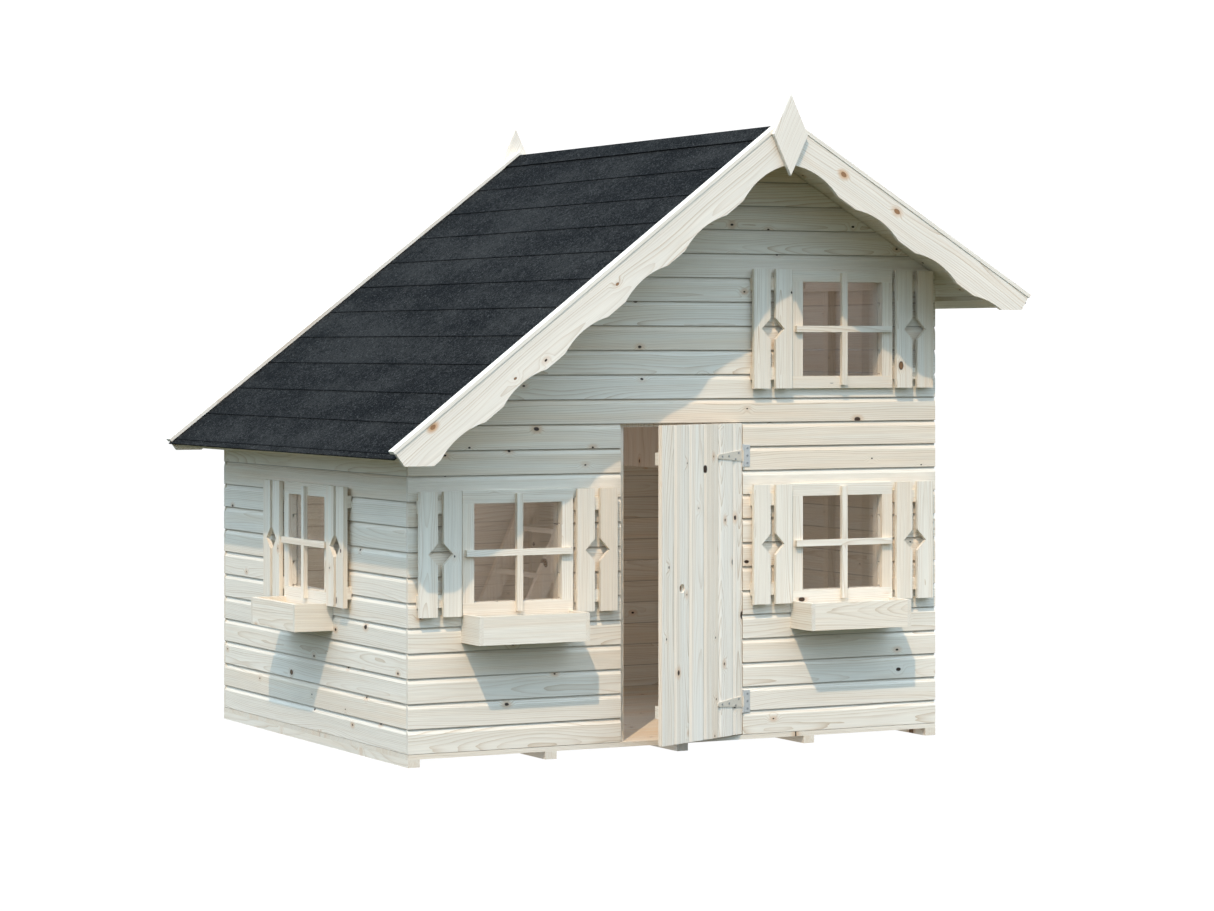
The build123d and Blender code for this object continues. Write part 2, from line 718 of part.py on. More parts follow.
def shingles(side):
    """Courses of long wedge-shaped strips, their joints staggered, over a starter strip."""
    under = BOARD_TOP - 0.1
    face = ROOF_SINK + 0.3
    lowest = SLOPE[side] + DRIP - STARTER_SHOWS
    courses = ceil(lowest / SHINGLE_COURSE)
    strips = [starter_strip(side)]
    for course in range(courses):
        butt = lowest - course * SHINGLE_COURSE
        top = max(butt - SHINGLE_COURSE + 0.3, under * tan(PITCH[side]) + 0.3)
        corners = [(butt, under), (butt, face), (top, BOARD_TOP - SHINGLE_THIN), (top, under)]
        section = [on_slope(side, s, u) for s, u in corners]
        start = ROOF_FRONT
        for joint in SHINGLE_JOINTS[course % 2]:
            end = ROOF_FRONT + joint - SHINGLE_SLOT / 2
            strips.append(bar(section, "Y", start, end))
            start = end + SHINGLE_SLOT
        strips.append(bar(section, "Y", start, ROOF_BACK))
    return strips


def ridge_cap():
    """Folded strips over the ridge, end to end."""
    first = ROOF_FRONT + 0.5
    last = ROOF_BACK + LATH_PROUD + BARGE - LATH_WIDTH - 0.5
    count = 6
    step = (last - first) / count
    foot = ROOF_SINK + 0.1
    left_foot = [on_slope("left", CAP_FLAP, u) for u in (foot, foot - CAP)]
    right_foot = [on_slope("right", CAP_FLAP, u) for u in (foot - CAP, foot)]
    inner_z = RIDGE_Z - foot / cos(PITCH["right"])
    section = [
        left_foot[0],
        left_foot[1],
        (RIDGE_X, inner_z + CAP),
        right_foot[0],
        right_foot[1],
        (RIDGE_X, inner_z),
    ]
    starts = [first + i * step for i in range(count)]
    return [bar(section, "Y", y, y + step - 0.5) for y in starts]


def scallop_cut(side, centre):
    """The arc taken out of a bargeboard's lower edge, with some air below it."""
    start = centre - SCALLOP_CHORD / 2
    stop = centre + SCALLOP_CHORD / 2
    below = BARGE_DEPTH + 10.0
    peak = on_slope(side, centre, BARGE_DEPTH - SCALLOP_RISE)
    corners = [on_slope(side, s, u) for s, u in (
        (start, BARGE_DEPTH),
        (start, below),
        (stop, below),
        (stop, BARGE_DEPTH),
    )]
    return make_face([Polyline(*corners), ThreePointArc(corners[-1], peak, corners[0])])


def bargeboard_face(side, under, toe_under):
    """The outline of one bargeboard in the gable plane, its lower end cut level."""
    end = SLOPE[side] + BARGE_PAST_EAVE
    toe = on_slope(side, end, toe_under)
    level = (RIDGE_Z - toe[1] - BARGE_DEPTH * cos(PITCH[side])) / sin(PITCH[side])
    corners = [
        (RIDGE_X, RIDGE_Z - BARGE_CROWN),
        on_slope(side, SCALLOP_FIRST - SCALLOP_CHORD / 2, BARGE_DEPTH),
        on_slope(side, level, BARGE_DEPTH),
        toe,
        on_slope(side, end, under),
        (RIDGE_X, slope_z(side, RIDGE_X, under)),
    ]
    face = make_face(Polyline(*corners, close=True))
    centre = SCALLOP_FIRST
    while centre - SCALLOP_CHORD / 2 < end:
        face = face - scallop_cut(side, centre)
        centre = centre + SCALLOP_PITCH
    return Plane.XZ * face


def bargeboards(under, toe_under):
    """The two boards of the front gable, meeting in a plumb joint under the finial."""
    boards = []
    for side in SIDES:
        face = bargeboard_face(side, under, toe_under)
        board = extrude(face, amount=BARGE, dir=(0, 1, 0)).move(Location((0, ROOF_FRONT - BARGE, 0)))
        boards.append(board)
    return solids_of(boards)


def rake_lath(side, under):
    """The cap strip along a front rake, on the bargeboard and out over the shingles."""
    y0 = ROOF_FRONT - BARGE - LATH_PROUD
    end = SLOPE[side] + BARGE_PAST_EAVE + 4.0
    top = under - LATH_HEIGHT
    corners = [(under * tan(PITCH[side]), under), (end, under), (end, top), (top * tan(PITCH[side]), top)]
    section = [on_slope(side, s, u) for s, u in corners]
    return bar(section, "Y", y0, y0 + LATH_WIDTH)


def rake_laths():
    """Proud of the shingles at the front, lying on them at the rear."""
    front = [rake_lath(side, 0.0) for side in SIDES]
    rear = [mirror_back(rake_lath(side, ROOF_SINK)) for side in SIDES]
    return solids_of(front + rear)


def finial():
    """A flat diamond over the joint of the front bargeboards."""
    x = RIDGE_X + FINIAL_SHIFT
    z = RIDGE_Z - FINIAL_DROP
    section = [
        (x, z - FINIAL_HALF_HEIGHT),
        (x + FINIAL_HALF_WIDTH, z),
        (x, z + FINIAL_HALF_HEIGHT),
        (x - FINIAL_HALF_WIDTH, z),
    ]
    face = ROOF_FRONT - BARGE - LATH_PROUD
    return bar(section, "Y", face - BARGE, face)


# ---------------------------------------------------------------- inside timbers
def eave_plate_top(side):
    inner = IN_LEFT if side == "left" else IN_RIGHT
    return slope_z(side, inner, ROOF_DEPTH) - 1.0


def eave_plates():
    along = (IN_FRONT + STUD, IN_BACK - STUD)
    plates = []
    for side, x in (("left", (IN_LEFT, IN_LEFT + STUD)), ("right", (IN_RIGHT - STUD, IN_RIGHT))):
        top = eave_plate_top(side)
        plates.append(block(x, along, (top - PLATE_HEIGHT, top)))
    return plates


def ridge_beam_top():
    edge = RIDGE_BEAM_WIDTH / 2
    heights = (slope_z("left", RIDGE_X - edge, ROOF_DEPTH), slope_z("right", RIDGE_X + edge, ROOF_DEPTH))
    return min(heights) - 0.5


def ridge_beam():
    half = RIDGE_BEAM_WIDTH / 2
    top = ridge_beam_top()
    return [block((RIDGE_X - half, RIDGE_X + half), (IN_FRONT, IN_BACK), (top - RIDGE_BEAM_HEIGHT, top))]


def sloping_timber(side, depth, start, end):
    """A timber under the roof boards, plumb cut at the ridge beam and the eave plate."""
    top = ROOF_DEPTH + 0.4
    high_x = RIDGE_X + OUTWARD[side] * (RIDGE_BEAM_WIDTH / 2 + 0.3)
    low_x = IN_LEFT + STUD + 0.3 if side == "left" else IN_RIGHT - STUD - 0.3
    section = [(x, slope_z(side, x, u)) for x, u in (
        (high_x, top),
        (low_x, top),
        (low_x, top + depth),
        (high_x, top + depth),
    )]
    return bar(section, "Y", start, end)


def rafters():
    half = RAFTER_WIDTH / 2
    return [sloping_timber(side, RAFTER_DEPTH, -half, half) for side in SIDES]


def gable_battens():
    ends = ((IN_FRONT, IN_FRONT + STUD), (IN_BACK - STUD, IN_BACK))
    return [sloping_timber(side, GABLE_BATTEN, y0, y1) for side in SIDES for y0, y1 in ends]


# ---------------------------------------------------------------- loft and ladder
def loft_beams():
    """Three beams from front to rear on two ledgers."""
    top = LOFT_TOP - DECK
    foot = top - LOFT_BEAM_HEIGHT
    right = IN_RIGHT - STUD
    middle = (LOFT_EDGE_X + right - STUD) / 2
    timbers = [
        block((x, x + STUD), (IN_FRONT, IN_BACK), (foot, top))
        for x in (LOFT_EDGE_X, middle, right - STUD)
    ]
    for y in (IN_FRONT, IN_BACK - STUD):
        across = (HALF_DOOR + STUD + 0.5, right)
        timbers.append(block(across, (y, y + STUD), (foot - LOFT_LEDGER_HEIGHT, foot)))
    return timbers


def loft_boards():
    """Boards across the loft, notched around the posts."""
    rows = ceil((IN_BACK - IN_FRONT) / BOARD)
    posts = wall_posts()
    boards = []
    for row in range(rows):
        start = IN_FRONT + row * BOARD
        end = min(start + BOARD - BOARD_GAP, IN_BACK)
        board = block((LOFT_EDGE_X, IN_RIGHT), (start, end), (LOFT_TOP - DECK, LOFT_TOP))
        for post in posts:
            board = board - post
        boards.append(board)
    return solids_of(boards)


def loft_guard():
    """Upright boards along the loft's edge up to the ladder, with a rail behind."""
    foot = LOFT_TOP - DECK - LOFT_BEAM_HEIGHT
    pieces = []
    for i in range(GUARD_BOARDS):
        start = IN_FRONT + STUD + 1 + i * BOARD
        along = (start, start + BOARD - BOARD_GAP)
        pieces.append(block((LOFT_EDGE_X - WALL, LOFT_EDGE_X), along, (foot, GUARD_TOP)))
    end = IN_FRONT + STUD + 1 + GUARD_BOARDS * BOARD - BOARD_GAP
    rail = (GUARD_TOP - GUARD_RAIL, GUARD_TOP)
    pieces.append(block((LOFT_EDGE_X, LOFT_EDGE_X + STUD), (IN_FRONT, end), rail))
    return pieces


def ladder_x(z, across):
    """Where a stringer's side is at a height; across runs square to the stringer."""
    angle = radians(LADDER_ANGLE)
    head_x = LOFT_EDGE_X - 0.5
    head_z = LOFT_TOP + LADDER_ABOVE_LOFT
    return head_x - (head_z - z) / tan(angle) + across / sin(angle)


def ladder_stringers():
    angle = radians(LADDER_ANGLE)
    head_x = LOFT_EDGE_X - 0.5
    head_z = LOFT_TOP + LADDER_ABOVE_LOFT
    back_z = head_z - STRINGER_WIDTH / cos(angle)
    section = [
        (ladder_x(DECK_TOP, 0), DECK_TOP),
        (ladder_x(DECK_TOP, STRINGER_WIDTH), DECK_TOP),
        (head_x, back_z),
        (head_x, head_z),
    ]
    starts = (LADDER_Y[0], LADDER_Y[1] - STRINGER)
    return [bar(section, "Y", y, y + STRINGER) for y in starts]


def ladder_treads():
    between = (LADDER_Y[0] + STRINGER, LADDER_Y[1] - STRINGER)
    step = (LOFT_TOP - DECK_TOP) / (TREADS + 1)
    treads = []
    for i in range(1, TREADS + 1):
        z = DECK_TOP + i * step
        x = ladder_x(z, STRINGER_WIDTH / 2) - TREAD_DEPTH / 2
        treads.append(block((x, x + TREAD_DEPTH), between, (z - TREAD, z)))
    return treads


# ---------------------------------------------------------------- every node
def nodes():
    rear_barge = bargeboards(ROOF_SINK, REAR_BARGE_TOE)
    inner_y = (IN_FRONT, IN_BACK)
    made = {
        "floor_joists": floor_joists(),
        "floor_boards": floor_boards(),
        "front_wall_boards": front_wall(),
        "rear_wall_boards": wall_boards("rear", LEFT, RIGHT, []),
        "left_wall_boards": wall_boards("left", *inner_y, [window_hole("side")]),
        "right_wall_boards": wall_boards("right", *inner_y, []),
        "wall_posts": wall_posts(),
        "eave_plates": eave_plates(),
        "gable_battens": gable_battens(),
        "ridge_beam": ridge_beam(),
        "rafters": rafters(),
        "door_frame": door_frame(),
        "door_stops": door_stops(),
        "door_planks": door_planks(),
        "door_ledges": door_ledges(),
        "door_brace": door_brace(),
        "hinge_straps": hinge_straps(),
        "hinge_strap_screws": strap_screws(),
        "hinge_plates": hinge_plates(),
        "hinge_pins": hinge_pins(),
        "hinge_plate_screws": plate_screws(),
        "ridge_cap": ridge_cap(),
        "eave_battens": eave_battens(),
        "front_bargeboards": bargeboards(0.0, BARGE_TOE),
        "rear_bargeboards": [mirror_back(board) for board in rear_barge],
        "rake_laths": rake_laths(),
        "finials": [finial(), mirror_back(finial())],
        "shutter_battens": shutter_battens(),
        "loft_beams": loft_beams(),
        "loft_boards": loft_boards(),
        "loft_guard": loft_guard(),
        "ladder_stringers": ladder_stringers(),
        "ladder_treads": ladder_treads(),
    }
    for side in SIDES:
        made[f"{side}_roof_boards"] = roof_boards(side)
        made[f"{side}_shingles"] = shingles(side)
    for name, (_, _, _, has_planter) in WINDOWS.items():
        made[f"{name}_casing"] = window_casing(name)
        made[f"{name}_muntins"] = window_muntins(name)
        made[f"{name}_pane"] = window_pane(name)
        made[f"{name}_inner_frame"] = window_inner_frame(name)
        made[f"{name}_shutter_boards"] = shutter_boards(name)
        if has_planter:
            made[f"{name}_planter"] = planter(name)
    return made


os.makedirs("parts", exist_ok=True)
for node, shapes in nodes().items():
    export_step(Compound(children=solids_of(shapes)), f"parts/{node}.step")
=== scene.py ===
import json
from collections import namedtuple
from math import cos, radians, sin

import bpy
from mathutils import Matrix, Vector


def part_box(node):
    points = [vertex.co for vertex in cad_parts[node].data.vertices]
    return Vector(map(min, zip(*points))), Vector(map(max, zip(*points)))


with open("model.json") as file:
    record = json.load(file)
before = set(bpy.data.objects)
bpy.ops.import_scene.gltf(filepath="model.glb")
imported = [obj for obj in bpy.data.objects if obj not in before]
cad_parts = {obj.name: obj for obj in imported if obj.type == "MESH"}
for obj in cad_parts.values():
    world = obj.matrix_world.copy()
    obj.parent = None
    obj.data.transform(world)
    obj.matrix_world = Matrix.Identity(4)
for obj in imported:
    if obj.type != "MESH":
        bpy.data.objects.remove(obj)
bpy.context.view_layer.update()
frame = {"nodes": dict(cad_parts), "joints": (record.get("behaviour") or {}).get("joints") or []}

# ---------------------------------------------------------------- places taken from the frame
X = Vector((1, 0, 0))
Y = Vector((0, 1, 0))
Z = Vector((0, 0, 1))
DECK_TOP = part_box("floor_boards")[1].z
WALL_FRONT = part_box("front_wall_boards")[0].y
WALL_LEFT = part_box("front_wall_boards")[0].x
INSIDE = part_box("left_wall_boards")[0].y
ROOF_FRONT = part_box("left_roof_boards")[0].y
RIDGE_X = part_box("ridge_beam")[0].x * 0.5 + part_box("ridge_beam")[1].x * 0.5
HINGE = Vector(frame["joints"][0]["pos_m"])

# ---------------------------------------------------------------- sizes of the CAD, in metres
PITCH = 0.088                      # cover width of wall, deck and roof boards
BOARD = 0.016                      # their thickness
RIDGE_Z = 2.275
LEFT_PITCH = radians(37.4)
RIGHT_PITCH = radians(31.1)
COURSE = 0.1657                    # shingle course
SHINGLE_JOINTS = ((0.446, 1.293), (0.666, 1.957))
LOWEST_BUTT = {"left": 1.9145, "right": 1.1985}
DOOR_OPEN = radians(25.7)
DOOR_PITCH = 0.092
DOOR_WIDTH = 0.50025               # leading edge to hinge pin
FIRST_DOOR_BOARD = 0.071
BRACE_SLANT = (0.4, 0.854)         # sideways and up
PANE_LAP = 0.012                   # pane edge behind the casing
MUNTIN_HALF = 0.0115               # half of the square where the two bars cross
SHUTTER_REACH = 0.390              # window centre to a shutter's far edge
GUARD_RAIL = 0.035                 # loft guard's first board, from the end of its rails
FINIAL_GRAIN = (0.45, 0.89)        # sideways and up
LADDER_SLOPE = radians(65)
LADDER_Y = 0.59

# ---------------------------------------------------------------- softwood colours
WOOD_LIGHT = (0.885, 0.825, 0.715)
WOOD_WARM = (0.86, 0.72, 0.555)
WOOD_GREY = (0.76, 0.72, 0.63)
WOOD_LATE = (0.56, 0.42, 0.28)
WOOD_JOINT = (0.26, 0.21, 0.16)
WOOD_END = (0.66, 0.57, 0.45)
KNOT_HALO = (0.62, 0.36, 0.17)
KNOT_DARK = (0.045, 0.026, 0.016)
KNOT_BROWN = (0.34, 0.18, 0.085)
FELT = (0.008, 0.008, 0.009)
TRIM_TINT = (1.01, 1.0, 1.01)
# painted light: the open door leaf is lightened for the sun that it turns away from
DOOR_PAINTED_LIGHT = (1.08, 1.07, 1.08)
# painted shade: the loft guard inside the house is darkened for the shade it lies in
GUARD_PAINTED_SHADE = (0.62, 0.58, 0.54)

# ---------------------------------------------------------------- softwood figure
BOARD_SHIFT = 37.0                 # metres between the stretches of tree that boards come from
KNOT_CELLS = (4.0, 6.2)            # cells per metre in which knots lie, along and across a board
KNOT_SWIRL_REACH = 0.027
KNOT_HALO_REACH = 0.016
HEART_GAP = 0.085                  # how far behind the face the heart of the tree can lie
END_SHARE = 0.22                   # strength of the end-grain colour
JOINT_EDGES = (0.0021, 0.0011)     # where a board's joint line starts and is full, from its edge
GRAIN_RELIEF = 0.00045

# ---------------------------------------------------------------- shingle colours
GRANULE_DARK = (0.0012, 0.0015, 0.0017)
GRANULE_LIGHT = (0.0215, 0.0215, 0.0205)
GRANULE_BRIGHT = (0.085, 0.086, 0.083)
# painted shade along each course's butt edge, widening the shadow line that the step casts
BUTT_PAINTED_SHADE = (0.002, 0.0025, 0.003)
BUTT_SHADE_WIDTH = 0.006

# ---------------------------------------------------------------- light and camera
SUN_TOWARDS = (-0.76, -1.0, 1.62)
SUN_COLOR = (1.0, 0.75, 0.52)
SUN_STRENGTH = 2.10
SUN_ANGLE = radians(0.7)
SKY_COLOR = (0.66, 0.84, 1.02)
SKY_LOW = 0.70                     # strength at the horizon
SKY_RISE = 2.25                    # gain from there to the zenith
BACKDROP = 1.1
LAMP_COLOR = (0.99, 1.0, 1.12)
LAMP_SIZE = 0.3
LAMP_BEHIND = 0.05                 # behind the middle of the floor
LAMPS = (                          # name, aside of the middle, height, power
    ("room_light", -0.42, 0.5, 5.0),
    ("loft_light", 0.62, 1.72, 1.7),
)
FLOOR_REACH = 60.0
CAMERA_PLACE = (-5.8878, -11.5945, 1.4616)
CAMERA_TURN = radians(-27.5175)
CAMERA_LENS = 99.95
CAMERA_SENSOR = 36.0
CAMERA_SHIFT = -0.0888
CAMERA_CLIP = (0.1, 200.0)


# ---------------------------------------------------------------- shader graph helper
class Graph:
    """Short calls for building one node tree."""

    def __init__(self, tree):
        self.tree = tree

    def node(self, kind, **settings):
        made = self.tree.nodes.new(kind)
        for key, value in settings.items():
            setattr(made, key, value)
        return made

    def plug(self, socket, value):
        if isinstance(value, bpy.types.NodeSocket):
            self.tree.links.new(value, socket)
        elif value is not None:
            socket.default_value = value

    def math(self, operation, *values, clamp=False):
        made = self.node("ShaderNodeMath", operation=operation, use_clamp=clamp)
        for socket, value in zip(made.inputs, values):
            self.plug(socket, value)
        return made.outputs[0]

    def plus(self, first, second, clamp=False):
        return self.math("ADD", first, second, clamp=clamp)

    def less(self, first, second):
        return self.math("SUBTRACT", first, second)

    def times(self, first, second, clamp=False):
        return self.math("MULTIPLY", first, second, clamp=clamp)

    def swing(self, value, amount, middle=0.5):
        """A value's distance from its middle, times amount."""
        return self.times(self.less(value, middle), amount)

    def vector(self, operation, *values):
        made = self.node("ShaderNodeVectorMath", operation=operation)
        for socket, value in zip(made.inputs, values):
            self.plug(socket, value)
        scalar = operation in ("DOT_PRODUCT", "LENGTH")
        return made.outputs["Value" if scalar else "Vector"]

    def scale(self, vector, factor):
        made = self.node("ShaderNodeVectorMath", operation="SCALE")
        self.plug(made.inputs[0], vector)
        self.plug(made.inputs["Scale"], factor)
        return made.outputs["Vector"]

    def combine(self, x, y, z):
        made = self.node("ShaderNodeCombineXYZ")
        for socket, value in zip(made.inputs, (x, y, z)):
            self.plug(socket, value)
        return made.outputs[0]

    def split(self, vector):
        made = self.node("ShaderNodeSeparateXYZ")
        self.plug(made.inputs[0], vector)
        return made.outputs

    def mix(self, factor, low, high):
        made = self.node("ShaderNodeMix", data_type="FLOAT")
        sockets = (made.inputs[0], made.inputs[2], made.inputs[3])
        for socket, value in zip(sockets, (factor, low, high)):
            self.plug(socket, value)
        return made.outputs[0]

    def blend(self, factor, first, second, mode="MIX"):
        made = self.node("ShaderNodeMix", data_type="RGBA", blend_type=mode)
        sockets = (made.inputs[0], made.inputs[6], made.inputs[7])
        for socket, value in zip(sockets, (factor, first, second)):
            if isinstance(value, tuple) and len(value) == 3:
                value = (*value, 1.0)
            self.plug(socket, value)
        return made.outputs[2]

    def switch(self, factor, first, second):
        made = self.node("ShaderNodeMix", data_type="VECTOR")
        sockets = (made.inputs[0], made.inputs[4], made.inputs[5])
        for socket, value in zip(sockets, (factor, first, second)):
            self.plug(socket, value)
        return made.outputs[1]

    def ramp(self, value, low, high, start=0.0, end=1.0):
        """A smooth step from start to end while value goes from low to high."""
        made = self.node("ShaderNodeMapRange", interpolation_type="SMOOTHSTEP")
        for socket, given in zip(made.inputs, (value, low, high, start, end)):
            self.plug(socket, given)
        return made.outputs[0]

    def noise(self, vector, scale=1.0, detail=2.0, roughness=0.5):
        made = self.node("ShaderNodeTexNoise", noise_dimensions="3D")
        self.plug(made.inputs["Vector"], vector)
        self.plug(made.inputs["Scale"], scale)
        self.plug(made.inputs["Detail"], detail)
        self.plug(made.inputs["Roughness"], roughness)
        return made.outputs["Fac"]

    def dice(self, vector):
        """Random numbers that depend on the vector alone."""
        made = self.node("ShaderNodeTexWhiteNoise", noise_dimensions="3D")
        self.plug(made.inputs["Vector"], vector)
        return made.outputs["Color"]

    def cells(self, vector, scale, dimensions="3D"):
        """(distance to the nearest cell centre, that cell's random colour)."""
        made = self.node("ShaderNodeTexVoronoi", voronoi_dimensions=dimensions)
        self.plug(made.inputs["Vector"], vector)
        self.plug(made.inputs["Scale"], scale)
        return made.outputs["Distance"], made.outputs["Color"]


def fresh(name):
    """A material with an empty tree, its graph and its Principled shader."""
    material = bpy.data.materials.new(name)
    material.use_nodes = True
    material.node_tree.nodes.clear()
    graph = Graph(material.node_tree)
    shader = graph.node("ShaderNodeBsdfPrincipled")
    output = graph.node("ShaderNodeOutputMaterial")
    graph.tree.links.new(shader.outputs[0], output.inputs["Surface"])
    return material, graph, shader


def put(material, *names):
    """Give a material to every slot of the named CAD nodes."""
    for name in names:
        mesh = frame["nodes"][name].data
        if not mesh.materials:
            mesh.materials.append(material)
        for i in range(len(mesh.materials)):
            mesh.materials[i] = material


def bump(graph, shader, height, distance):
    made = graph.node("ShaderNodeBump")
    made.inputs["Strength"].default_value = 1.0
    made.inputs["Distance"].default_value = distance
    graph.plug(made.inputs["Height"], height)
    graph.plug(shader.inputs["Normal"], made.outputs["Normal"])


# ---------------------------------------------------------------- softwood
Knots = namedtuple("Knots", "lot ratio core halo swirl")


def knots_on_board(g, along, across, shift, given):
    """A sparse set of points on the board, each with its own size. ratio is the distance to the
    nearest one over its size; core, halo and swirl are masks of the knot, of the resin round it and
    of the rings that it pushes aside."""
    spot = g.combine(
        g.times(along, KNOT_CELLS[0]),
        g.plus(g.times(across, KNOT_CELLS[1]), g.times(shift, 31.0)),
        0.0,
    )
    away, lot = g.cells(spot, 1.0, "2D")
    lot = g.split(lot)
    ragged = g.noise(g.combine(g.times(along, 90.0), g.times(across, 130.0), 0.0))
    away = g.plus(g.math("DIVIDE", away, KNOT_CELLS[1]), g.swing(ragged, 0.002))
    kept = g.math("LESS_THAN", lot[0], given["Knots"])
    size = g.plus(0.0026, g.times(g.math("POWER", lot[1], 2.6), 0.0085))
    size = g.plus(size, g.times(given["Brown"], 0.0020))
    ratio = g.math("DIVIDE", away, size)
    core = g.times(kept, g.ramp(ratio, 0.8, 1.15, 1.0, 0.0))
    halo = g.times(kept, g.ramp(g.less(away, size), -0.001, KNOT_HALO_REACH, 1.0, 0.0))
    swirl = g.times(kept, g.ramp(away, 0.002, KNOT_SWIRL_REACH, 1.0, 0.0))
    return Knots(lot, ratio, core, halo, swirl)


def late_wood(g, along, across, deep, first, second, swirl):
    """The dark part of each growth ring, round a heart line that wanders beside or behind the
    board."""
    slow = g.noise(g.combine(g.times(along, 0.9), second[1], 0.0), detail=1.0)
    drift = g.noise(g.combine(g.times(along, 1.1), second[2], 7.0), detail=1.0)
    heart_across = g.plus(g.swing(first[1], 0.17), g.swing(slow, 0.07))
    heart_deep = g.plus(g.times(g.less(-0.1, first[2]), HEART_GAP), g.swing(drift, 0.075))
    radius = g.vector("LENGTH", g.combine(g.less(across, heart_across), g.less(deep, heart_deep), 0.0))
    place = g.combine(g.times(along, 2.6), g.times(across, 20.0), g.times(deep, 20.0))
    wander = g.noise(place, detail=3.0)
    radius = g.plus(radius, g.swing(wander, 0.009))
    radius = g.plus(radius, g.times(swirl, 0.010))
    spacing = g.plus(0.0038, g.times(second[0], 0.0030))
    ring = g.math("DIVIDE", radius, spacing)
    late = g.math("POWER", g.math("FRACT", ring), 4.0)
    year = g.dice(g.combine(g.math("FLOOR", ring), second[1], second[2]))
    return g.times(late, g.plus(0.35, g.split(year)[0]))


def wood_group():
    """Growth rings, fibres, streaks and knots, from one board's own coordinates. Local is metres
    along, across and into the board, Board is a number triple that differs from board to board."""
    tree = bpy.data.node_groups.new("softwood", "ShaderNodeTree")
    for name, kind in (
        ("Local", "NodeSocketVector"),
        ("Board", "NodeSocketVector"),
        ("Warmth", "NodeSocketFloat"),
        ("Figure", "NodeSocketFloat"),
        ("Knots", "NodeSocketFloat"),
        ("Brown", "NodeSocketFloat"),
    ):
        tree.interface.new_socket(name, in_out="INPUT", socket_type=kind)
    for name, kind in (
        ("Color", "NodeSocketColor"),
        ("Roughness", "NodeSocketFloat"),
        ("Height", "NodeSocketFloat"),
    ):
        tree.interface.new_socket(name, in_out="OUTPUT", socket_type=kind)
    g = Graph(tree)
    given = g.node("NodeGroupInput").outputs
    result = g.node("NodeGroupOutput").inputs

    first = g.split(g.dice(given["Board"]))
    second = g.split(g.dice(g.vector("ADD", given["Board"], (17.3, 5.1, 9.7))))
    along, across, deep = g.split(given["Local"])
    along = g.plus(along, g.times(first[0], BOARD_SHIFT))
    knots = knots_on_board(g, along, across, second[0], given)
    late = late_wood(g, along, across, deep, first, second, knots.swirl)

    def drawn_out(lengthwise, crosswise, **settings):
        """Noise with that many features per metre along the board and across it."""
        place = g.combine(g.times(along, lengthwise), g.times(across, crosswise), g.times(deep, crosswise))
        return g.noise(place, **settings)

    fibre = drawn_out(7.0, 330.0, detail=2.0)
    streak = drawn_out(0.8, 26.0, detail=3.0)
    lines = drawn_out(1.9, 105.0, detail=3.0, roughness=0.6)
    cloud = g.noise(g.combine(g.times(along, 1.7), g.times(across, 6.0), second[1]))

    warmth = g.plus(g.swing(first[1], 0.75, 0.42), g.swing(streak, 1.7))
    warmth = g.plus(warmth, g.swing(lines, 1.1))
    warmth = g.plus(warmth, given["Warmth"], clamp=True)
    color = g.blend(warmth, WOOD_LIGHT, WOOD_WARM)
    grey = g.times(g.less(cloud, 0.42), g.plus(0.6, second[0]), clamp=True)
    color = g.blend(grey, color, WOOD_GREY)
    color = g.blend(g.times(late, given["Figure"], clamp=True), color, WOOD_LATE)
    shade = g.less(g.plus(0.985, g.times(fibre, 0.21)), g.times(lines, 0.17))
    color = g.scale(color, shade)
    resin = g.times(knots.lot[2], g.plus(0.6, g.times(given["Brown"], 0.6)))
    color = g.blend(g.times(knots.halo, resin, clamp=True), color, KNOT_HALO)
    brown = g.ramp(g.plus(knots.lot[1], given["Brown"]), 0.86, 1.05)
    rim = g.times(g.ramp(knots.ratio, 0.55, 0.95), g.less(1.0, given["Brown"]))
    inner = g.blend(rim, g.blend(brown, KNOT_DARK, KNOT_BROWN), KNOT_DARK)
    color = g.blend(knots.core, color, inner)

    g.plug(result["Color"], color)
    rough = g.plus(0.58, g.times(fibre, 0.16))
    g.plug(result["Roughness"], g.less(rough, g.times(knots.core, 0.15)))
    height = g.plus(g.times(late, 0.5), g.times(fibre, 0.55))
    g.plug(result["Height"], g.less(height, g.times(knots.core, 0.6)))
    return tree


SOFTWOOD = wood_group()
NO_GRID = 1000.0                   # grid pitch that makes everything one board


class Lay:
    """How boards lie: a point on the grid, the direction along them and the one across them, and
    the grid's pitch along, across and into them. None is one board all the way."""

    def __init__(self, origin, along, across, pitch=(None, None, None)):
        self.origin = Vector(origin)
        self.along = Vector(along).normalized()
        self.across = Vector(across).normalized()
        self.deep = self.along.cross(self.across)
        self.pitch = pitch


def lay_coordinates(g, place, lay):
    """(board-centred local coordinates, board numbers) of the point for one lay."""
    offset = g.vector("SUBTRACT", place, tuple(lay.origin))
    local = g.combine(
        g.vector("DOT_PRODUCT", offset, tuple(lay.along)),
        g.vector("DOT_PRODUCT", offset, tuple(lay.across)),
        g.vector("DOT_PRODUCT", offset, tuple(lay.deep)),
    )
    step = tuple(p or NO_GRID for p in lay.pitch)
    start = tuple(0.0 if p else NO_GRID / 2 for p in lay.pitch)
    centre = tuple(p or 0.0 for p in lay.pitch)
    board = g.vector("FLOOR", g.vector("DIVIDE", g.vector("ADD", local, start), step))
    middle = g.vector("MULTIPLY", g.vector("ADD", board, (0.5, 0.5, 0.5)), centre)
    return g.vector("SUBTRACT", local, middle), board


def beyond(g, place, point, direction, reach):
    """1 where the place is further than reach from a plane through point, on either side of it. A
    reach of None is 1 on the direction's side of the plane."""
    distance = g.vector("DOT_PRODUCT", g.vector("SUBTRACT", place, tuple(point)), tuple(direction))
    if reach is None:
        return g.math("GREATER_THAN", distance, 0.0)
    return g.math("GREATER_THAN", g.math("ABSOLUTE", distance), reach)


